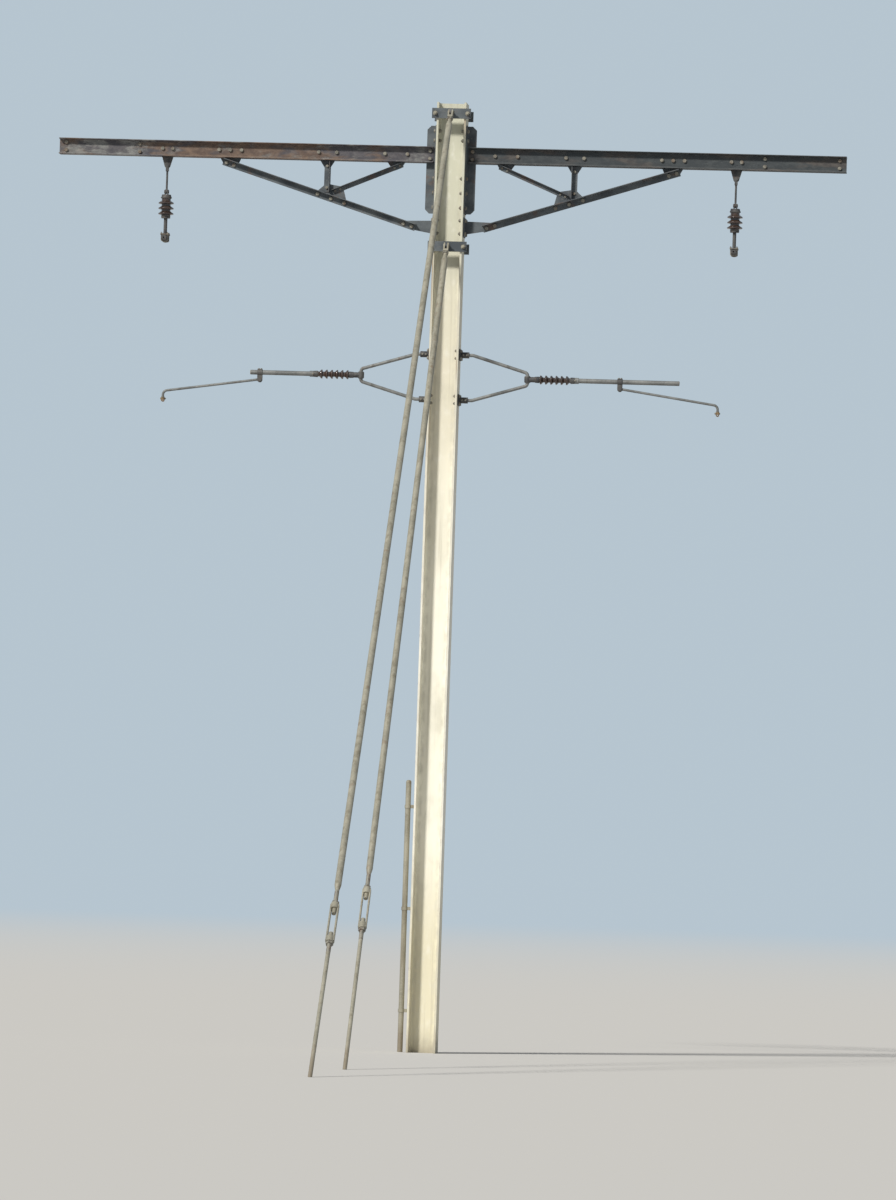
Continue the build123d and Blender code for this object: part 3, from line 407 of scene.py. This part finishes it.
class Kit:
    """Gathers turned, swept and plate forms into one mesh."""

    def __init__(self):
        self.mesh = bmesh.new()

    def turned(self, start, axis, profile, sides=16, turn=0.0):
        """Turns a profile of (distance, radius) round an axis that starts at a point."""
        axis = Vector(axis).normalized()
        across = Quaternion(axis, turn) @ axis.orthogonal().normalized()
        rings = []
        for distance, radius in profile:
            centre = Vector(start) + axis * distance
            if radius == 0:
                rings.append([self.mesh.verts.new(centre)])
                continue
            ring = []
            for step in range(sides):
                arm = Quaternion(axis, 2 * math.pi * step / sides) @ across
                ring.append(self.mesh.verts.new(centre + arm * radius))
            rings.append(ring)
        self.skin(rings)

    def skin(self, rings):
        """Faces between one ring of points and the next."""
        for lower, upper in zip(rings, rings[1:]):
            count = max(len(lower), len(upper))
            for step in range(count):
                after = (step + 1) % count
                corners = [lower[step % len(lower)], lower[after % len(lower)]]
                corners += [upper[after % len(upper)], upper[step % len(upper)]]
                self.mesh.faces.new(list(dict.fromkeys(corners)))

    def tube(self, points, radius, sides=8):
        """Round bar through points, with flat ends."""
        points = [Vector(point) for point in points]
        heading = (points[1] - points[0]).normalized()
        across = heading.orthogonal().normalized()
        rings = [[self.mesh.verts.new(points[0])]]
        for number, point in enumerate(points):
            before = points[max(number - 1, 0)]
            after = points[min(number + 1, len(points) - 1)]
            turned = (after - before).normalized()
            across = heading.rotation_difference(turned) @ across
            heading = turned
            ring = []
            for step in range(sides):
                arm = Quaternion(heading, 2 * math.pi * step / sides) @ across
                ring.append(self.mesh.verts.new(point + arm * radius))
            rings.append(ring)
        rings.append([self.mesh.verts.new(points[-1])])
        self.skin(rings)

    def plate(self, centre, size, rounding):
        """Block with softened edges."""
        made = bmesh.ops.create_cube(self.mesh, size=1)["verts"]
        bmesh.ops.scale(self.mesh, vec=size, verts=made)
        bmesh.ops.translate(self.mesh, vec=centre, verts=made)
        edges = list({edge for vert in made for edge in vert.link_edges})
        bmesh.ops.bevel(self.mesh, geom=edges, offset=rounding, segments=2, affect="EDGES")

    def bolt(self, head, axis, grip, size, turn=0.0):
        """Hexagon bolt with its head and washer at a point and its nut at the far side."""
        corner = 0.866 * size
        washer = [(0, 0), (0, 0.9 * size), (0.11 * size, 0.9 * size), (0.15 * size, 0.86 * size)]
        washer.append((0.15 * size, 0))
        far = Vector(head) - Vector(axis) * grip
        back = -Vector(axis)
        for start, way in ((head, Vector(axis)), (far, back)):
            self.turned(start, way, washer, 12)
        cap = [(0.14 * size, 0), (0.14 * size, corner), (0.66 * size, corner)]
        cap += [(0.77 * size, 0.86 * corner), (0.77 * size, 0)]
        self.turned(head, axis, cap, 6, turn)
        nut = [(0.14 * size, 0), (0.14 * size, 0.9 * corner), (0.2 * size, corner)]
        nut += [(0.88 * size, corner), (0.95 * size, 0.87 * corner), (0.95 * size, 0)]
        self.turned(far, back, nut, 6, turn + 0.4)
        thread = [(0.9 * size, 0), (0.9 * size, 0.5 * size), (1.25 * size, 0.5 * size)]
        thread += [(1.33 * size, 0.42 * size), (1.33 * size, 0)]
        self.turned(far, back, thread, 10)

    def screw(self, seat, axis, size, turn=0.0):
        """Hexagon head on a washer, with nothing on the far side."""
        corner = 0.866 * size
        washer = [(0, 0), (0, 0.9 * size), (0.15 * size, 0.86 * size), (0.15 * size, 0)]
        self.turned(seat, axis, washer, 12)
        cap = [(0.14 * size, 0), (0.14 * size, corner), (0.66 * size, corner)]
        cap += [(0.77 * size, 0.86 * corner), (0.77 * size, 0)]
        self.turned(seat, axis, cap, 6, turn)

    def split_pin(self, point, axis, radius):
        """Split pin across a pin of that radius: its ring on one side and bent legs on the other."""
        axis = Vector(axis)
        across = axis.orthogonal().normalized()
        wire = 0.0013
        top = Vector(point) + across * (radius + 0.005)
        loop = []
        for step in range(11):
            angle = 2 * math.pi * step / 10
            level = across * 0.004 * math.cos(angle)
            loop.append(top + level + axis.cross(across) * 0.004 * math.sin(angle))
        self.tube(loop, wire, 6)
        for side in (1, -1):
            start = Vector(point) + axis * side * 0.0012
            leg = [start + across * (radius + 0.002), start - across * (radius + 0.003)]
            leg.append(start - across * (radius + 0.008) + axis * side * 0.004)
            self.tube(leg, wire, 6)

    def finish(self, name, body, material, slot):
        """Makes the piece, and lets it ride on its body."""
        bmesh.ops.recalc_face_normals(self.mesh, faces=self.mesh.faces)
        mesh = bpy.data.meshes.new(name)
        self.mesh.to_mesh(mesh)
        self.mesh.free()
        mesh.shade_smooth()
        mesh.set_sharp_from_angle(angle=math.radians(33))
        mesh.materials.append(material)
        piece = bpy.data.objects.new(name, mesh)
        bpy.context.scene.collection.objects.link(piece)
        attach(piece, body)
        return piece


def toward(start, end, distance):
    """Point that lies a distance from start on the way to end."""
    share = distance / math.hypot(end[0] - start[0], end[1] - start[1])
    return (start[0] + share * (end[0] - start[0]), start[1] + share * (end[1] - start[1]))


def arc(centre, first, second, start, end, steps):
    """Points on an arc: centre + first * cos + second * sin, angles in degrees."""
    points = []
    for step in range(steps + 1):
        angle = math.radians(start + (end - start) * step / steps)
        across = Vector(centre) + Vector(first) * math.cos(angle)
        points.append(across + Vector(second) * math.sin(angle))
    return points


# Bolts of the arms, cleats, lugs and clamps


def strut_at(x):
    """Height of the strut's axis at x."""
    return STRUT_FOOT[1] + (x - STRUT_FOOT[0]) * STRUT_SLOPE


def truss_bolts(side, sign):
    """Bolts through the arm, strut, post and diagonal at their gusset plates."""
    post_foot = strut_at(POST + 0.025) + STRUT_EDGE + 0.004
    diagonal_foot = (POST - 0.053, strut_at(POST - 0.033) + STRUT_EDGE + 0.024)
    arm_bolts = [(x, ARM) for x in (0.390, 0.590, 1.020, 1.180, 1.870, 1.970, 2.070)]
    arm_bolts += [(SUSPENSION - 0.045, ARM), (SUSPENSION + 0.045, ARM)]
    for x in (0.188, 2.780, 3.440):
        arm_bolts += [(x, ARM - 0.035), (x, ARM + 0.035)]
    strut_bolts = [toward(STRUT_HEAD, STRUT_FOOT, distance) for distance in (0.030, 0.100)]
    strut_bolts += [toward(STRUT_FOOT, STRUT_HEAD, distance) for distance in (0.004, 0.080)]
    strut_bolts += [(x, strut_at(x)) for x in (0.940, 1.060, 1.180)]
    post_bolts = [(POST, POST_HEAD - 0.046), (POST, post_foot + 0.040)]
    diagonal_bolts = [toward(DIAGONAL_HEAD, diagonal_foot, distance) for distance in (0.026, 0.078)]
    diagonal_bolts += [toward(diagonal_foot, DIAGONAL_HEAD, distance) for distance in (0.026, 0.074)]
    kit = Kit()
    rows = ((arm_bolts, 0.013, 0.020), (strut_bolts, 0.012, 0.020))
    rows += ((post_bolts, 0.011, 0.016), (diagonal_bolts, 0.010, 0.012))
    for points, face, size in rows:
        for number, (x, z) in enumerate(points):
            kit.bolt((sign * x, -face, z), (0, -1, 0), 2 * face, size, number * 0.43)
    kit.finish(f"{side}_truss_bolts", "root", FASTENER, "galvanised_steel")


def flange_bolts(side, sign):
    """Bolts of the cleat, the foot lug and the bow's clamps through the column's flange."""
    grip = PLATE + COLUMN_FLANGE
    seat = sign * PLATE_FACE
    kit = Kit()
    spots = [(0.055, z, 0.020) for z in (7.470, 7.600, 7.730, 8.065, 8.150)]
    spots += [(0.055, 7.300 + drop, 0.020) for drop in (-0.058, 0.058)]
    for centre in BOW_CLAMPS:
        spots += [(0.048, centre - 0.033, 0.016), (0.048, centre + 0.033, 0.016)]
    for number, (y, z, size) in enumerate(spots):
        for across in (-y, y):
            kit.bolt((seat, across, z), (sign, 0, 0), grip, size, number * 0.37)
    kit.finish(f"{side}_flange_bolts", "root", FASTENER, "galvanised_steel")


def lug_welds(side, sign):
    """Welds of the strut's lug on its base plate and of the bosses on the clamp plates."""
    kit = Kit()
    for y in (-0.006, 0.006):
        line = [(sign * PLATE_FACE, y, 7.246 + 0.012 * step) for step in range(10)]
        kit.tube(line, 0.0045, 8)
    for centre in BOW_CLAMPS:
        ring = arc((sign * PLATE_FACE, 0, centre), (0, 0.027, 0), (0, 0, 0.027), 0, 360, 28)
        kit.tube(ring, 0.0042, 8)
    kit.finish(f"{side}_welds", "root", LOOKS["truss_paint"], "truss_paint")


# Small pieces of the hanging insulator and its wire saddle


def suspension_details(side, sign):
    """Cement, cap rim, split pins, keepers and U-bolts round the suspension insulator."""
    x = sign * SUSPENSION
    bottom, top = INSULATOR
    kit = Kit()
    crown = [(0, 0.0398), (0.001, 0.0428), (0.0074, 0.0448), (0.0074, 0.038)]
    kit.turned((x, 0, top - 0.0075), (0, 0, 1), crown, 32)
    foot = [(-0.0005, 0.0396), (0.002, 0.0425), (0.007, 0.0398)]
    kit.turned((x, 0, bottom + 0.0005), (0, 0, 1), foot, 32)
    kit.finish(f"{side}_suspension_cement", f"{side}_insulator", CEMENT, "porcelain")
    kit = Kit()
    kit.split_pin((x, 0.0195, HANGER_PIN), (0, 1, 0), 0.010)
    kit.finish(f"{side}_hanger_split_pin", f"{side}_link", FASTENER, "galvanised_steel")
    kit = Kit()
    rim = [(0, 0.0455), (0, 0.0482), (0.005, 0.0492), (0.009, 0.0482), (0.010, 0.0440)]
    kit.turned((x, 0, top - 0.003), (0, 0, 1), rim, 32)
    kit.finish(f"{side}_cap_rim", f"{side}_insulator", LOOKS["cast_fittings"], "cast_fittings")
    kit = Kit()
    kit.split_pin((x + 0.0195, 0, SWING_PIN), (1, 0, 0), 0.008)
    legs = 0.0275
    leg_end = MESSENGER + 0.052
    nut = [(0, 0), (0, 0.0085), (0.001, 0.0092), (0.0075, 0.0092), (0.0085, 0.008), (0.0085, 0)]
    for y in (-0.052, 0.052):
        bend = arc((x, y, MESSENGER - 0.0175), (legs, 0, 0), (0, 0, -0.0125), 0, 180, 10)
        path = [(x + legs, y, leg_end)] + bend + [(x - legs, y, leg_end)]
        kit.tube(path, 0.0045, 10)
        kit.plate((x, y, MESSENGER + 0.0305), (0.074, 0.026, 0.008), 0.002)
        for leg in (-legs, legs):
            kit.turned((x + leg, y, MESSENGER + 0.0345), (0, 0, 1), nut, 6, y)
    kit.finish(f"{side}_saddle_keeper", f"{side}_insulator", FASTENER, "galvanised_steel")


# Small pieces of the registration gear


def registration_details(side, sign):
    """Insulator sleeves, cement, tube plug and set screws of the registration arm."""
    body = f"{side}_registration"
    start, end = SLIM_INSULATOR
    kit = Kit()
    sleeve = [(0, 0.0243), (0.002, 0.027), (0.034, 0.029), (0.040, 0.028), (0.041, 0.0225)]
    kit.turned((sign * (start - 0.030), 0, BOW), (sign, 0, 0), sleeve, 32)
    kit.turned((sign * (end + 0.030), 0, BOW), (-sign, 0, 0), sleeve, 32)
    kit.finish(f"{side}_insulator_sleeves", body, LOOKS["cast_fittings"], "cast_fittings")
    kit = Kit()
    ring = [(0, 0.0226), (0.002, 0.0262), (0.0045, 0.0250), (0.006, 0.0222)]
    kit.turned((sign * (start + 0.0105), 0, BOW), (sign, 0, 0), ring, 32)
    kit.turned((sign * (end - 0.0105), 0, BOW), (-sign, 0, 0), ring, 32)
    kit.finish(f"{side}_registration_cement", body, CEMENT, "porcelain")
    kit = Kit()
    plug = [(-0.012, 0), (-0.012, 0.0174), (0, 0.0174), (0, 0.0208)]
    plug += [(0.003, 0.0208), (0.006, 0.018), (0.0068, 0)]
    kit.turned((sign * TUBE_END[side], 0, BOW), (sign, 0, 0), plug, 32)
    for offset in (-0.011, 0.011):
        kit.screw((sign * STEADY[side] + offset, 0, BOW + 0.0288), (0, 0, 1), 0.010, offset * 90)
    kit.screw((sign * 1.165, -0.0268, BOW), (0, -1, 0), 0.010)
    kit.split_pin((sign * STEADY[side], 0.0195, STEADY_PIVOT), (0, 1, 0), 0.008)
    kit.finish(f"{side}_tube_fasteners", body, FASTENER, "galvanised_steel")
    kit = Kit()
    kit.bolt((sign * (WIRE[side] + 0.015), 0, CONTACT + 0.0145), (sign, 0, 0), 0.030, 0.010, 0.2)
    cap = [(0, 0), (0, 0.0150), (0.009, 0.0150), (0.011, 0.0135), (0.011, 0.0105)]
    kit.turned((sign * WIRE[side], 0, CONTACT + 0.022), (0, 0, 1), cap, 24)
    kit.finish(f"{side}_clip_bolt", f"{side}_steady", FASTENER, "galvanised_steel")
    kit = Kit()
    for centre in BOW_CLAMPS:
        for reach in (0.025, 0.055):
            seat = sign * (PLATE_FACE + reach)
            kit.screw((seat, -0.0268, centre), (0, -1, 0), 0.010, reach * 30)
    kit.finish(f"{side}_boss_screws", "root", FASTENER, "galvanised_steel")


# Small pieces of the stays and the cable guard


def stay_details(level):
    """Threads, lock nuts and split pins of one stay."""
    pin = Vector((0, -COLUMN_FACE - COLLAR_PLATE - STAY_LUG, COLLAR[level]))
    run = Vector((0, ANCHOR[level], 0)) - pin
    way = run.normalized()
    reach, length = TURNBUCKLE
    start = run.length - reach - length
    end = start + length
    kit = Kit()
    threads = ((start - BARE_THREAD + 0.012, BARE_THREAD + 0.040), (end - 0.060, 0.180))
    for first, threaded in threads:
        profile = [(0, ROD)]
        for turn in range(int(threaded / THREAD_PITCH)):
            ridge = THREAD_PITCH * turn
            profile += [(ridge + 0.001, ROD + 0.0009), (ridge + 0.003, ROD + 0.0001)]
        profile.append((threaded, ROD))
        kit.turned(pin + way * first, way, profile, 20)
    nut = [(0, ROD), (0, 0.029), (0.002, 0.0312), (0.020, 0.0312), (0.022, 0.029), (0.022, ROD)]
    kit.turned(pin + way * (start - 0.0225), way, nut, 6, 0.3)
    kit.turned(pin + way * (end + 0.0005), way, nut, 6, 0.8)
    fork_nut = [(0, ROD), (0, 0.027), (0.002, 0.0295), (0.016, 0.0295), (0.018, 0.027), (0.018, ROD)]
    kit.turned(pin + way * 0.0905, way, fork_nut, 6, 0.1)
    kit.split_pin(pin + Vector((0.0288, 0, 0)), (1, 0, 0), 0.012)
    kit.finish(f"{level}_stay_threads", "root", FASTENER, "galvanised_steel")


def collar_details(level):
    """Washers and bare threads of one collar's long bolts, and the weld of its lug."""
    height = COLLAR[level]
    plate_face = COLUMN_FACE + COLLAR_PLATE
    washer = [(0, 0.010), (0, 0.0205), (-0.003, 0.0205), (-0.0035, 0.0200), (-0.0035, 0.010)]
    thread = [(0, 0.0098)]
    for turn in range(5):
        thread += [(0.003 * turn + 0.0007, 0.0108), (0.003 * turn + 0.0023, 0.0100)]
    kit = Kit()
    for x in (-COLLAR_BOLT, COLLAR_BOLT):
        for side in (-1, 1):
            kit.turned((x, side * (plate_face + 0.0035), height), (0, side, 0), washer, 20)
            kit.turned((x, side * (plate_face + COLLAR_NUT), height), (0, side, 0), thread, 16)
    kit.finish(f"{level}_collar_washers", "root", FASTENER, "galvanised_steel")
    kit = Kit()
    for x in (-0.008, 0.008):
        line = [(x, -plate_face, height - 0.028 + 0.008 * step) for step in range(8)]
        kit.tube(line, 0.0045, 8)
    kit.finish(f"{level}_collar_weld", "root", LOOKS["truss_paint"], "truss_paint")


def guard_details():
    """Screws of the cable guard's clips."""
    kit = Kit()
    for number, z in enumerate(GUARD_CLIPS):
        for y in (-0.036, 0.036):
            kit.screw((-COLUMN_FACE - GUARD_CLIP_WALL, y, z), (-1, 0, 0), 0.010, number * 0.5)
    kit.finish("cable_guard_screws", "root", FASTENER, "galvanised_steel")


for side, sign in SIDES:
    truss_bolts(side, sign)
    flange_bolts(side, sign)
    lug_welds(side, sign)
    suspension_details(side, sign)
    registration_details(side, sign)
for level in COLLAR:
    stay_details(level)
    collar_details(level)
guard_details()


# Floor, light and camera


def stage():
    """Large floor, pale world, one soft sun from behind the camera's left."""
    mesh = bpy.data.meshes.new("studio_floor")
    reach = 3000
    corners = [(-reach, -reach, 0), (reach, -reach, 0), (reach, reach, 0), (-reach, reach, 0)]
    mesh.from_pydata(corners, [], [(0, 1, 2, 3)])
    mesh.materials.append(floor_paint())
    floor = bpy.data.objects.new("studio_floor", mesh)
    floor.location.z = -0.001
    bpy.context.scene.collection.objects.link(floor)

    world = bpy.data.worlds.new("studio_world")
    bpy.context.scene.world = world
    world.use_nodes = True
    nodes, links = world.node_tree.nodes, world.node_tree.links
    light = nodes["Background"]
    light.inputs["Color"].default_value = (0.93, 0.96, 1.0, 1)
    light.inputs["Strength"].default_value = 0.28
    seen = nodes.new("ShaderNodeBackground")
    seen.inputs["Color"].default_value = (*BACKDROP, 1)
    path = nodes.new("ShaderNodeLightPath")
    shown = nodes.new("ShaderNodeMath")
    shown.operation = "MAXIMUM"
    links.new(path.outputs["Is Camera Ray"], shown.inputs[0])
    links.new(path.outputs["Is Glossy Ray"], shown.inputs[1])
    either = nodes.new("ShaderNodeMath")
    either.operation = "MAXIMUM"
    links.new(shown.outputs[0], either.inputs[0])
    links.new(path.outputs["Is Transmission Ray"], either.inputs[1])
    choice = nodes.new("ShaderNodeMixShader")
    links.new(either.outputs[0], choice.inputs[0])
    links.new(light.outputs[0], choice.inputs[1])
    links.new(seen.outputs[0], choice.inputs[2])
    links.new(choice.outputs[0], nodes["World Output"].inputs["Surface"])

    lamp = bpy.data.lights.new("studio_sun", "SUN")
    lamp.energy = 3.6
    lamp.angle = math.radians(7)
    lamp.color = (1.0, 0.965, 0.90)
    sun = bpy.data.objects.new("studio_sun", lamp)
    turn, rise = math.radians(35), math.radians(38)
    level = math.cos(rise)
    source = Vector((-math.sin(turn) * level, -math.cos(turn) * level, math.sin(rise)))
    sun.rotation_mode = "QUATERNION"
    sun.rotation_quaternion = source.to_track_quat("Z", "Y")
    sun.location = source * 30
    bpy.context.scene.collection.objects.link(sun)


def camera():
    """Long lens at the photograph's distance, height and slight tilt."""
    data = bpy.data.cameras.new("photo_camera")
    data.sensor_width = 36
    data.lens = 222.7
    data.clip_end = 5000
    eye = bpy.data.objects.new("photo_camera", data)
    eye.location = (5.92, -65.3, 1.5)
    gaze = Vector((0.10, 0, 4.0)) - eye.location
    eye.rotation_mode = "QUATERNION"
    roll = Quaternion((0, 0, 1), math.radians(1.9))
    eye.rotation_quaternion = gaze.to_track_quat("-Z", "Y") @ roll
    bpy.context.scene.collection.objects.link(eye)
    bpy.context.scene.camera = eye


stage()
camera()
bpy.context.scene.view_settings.view_transform = "Standard"
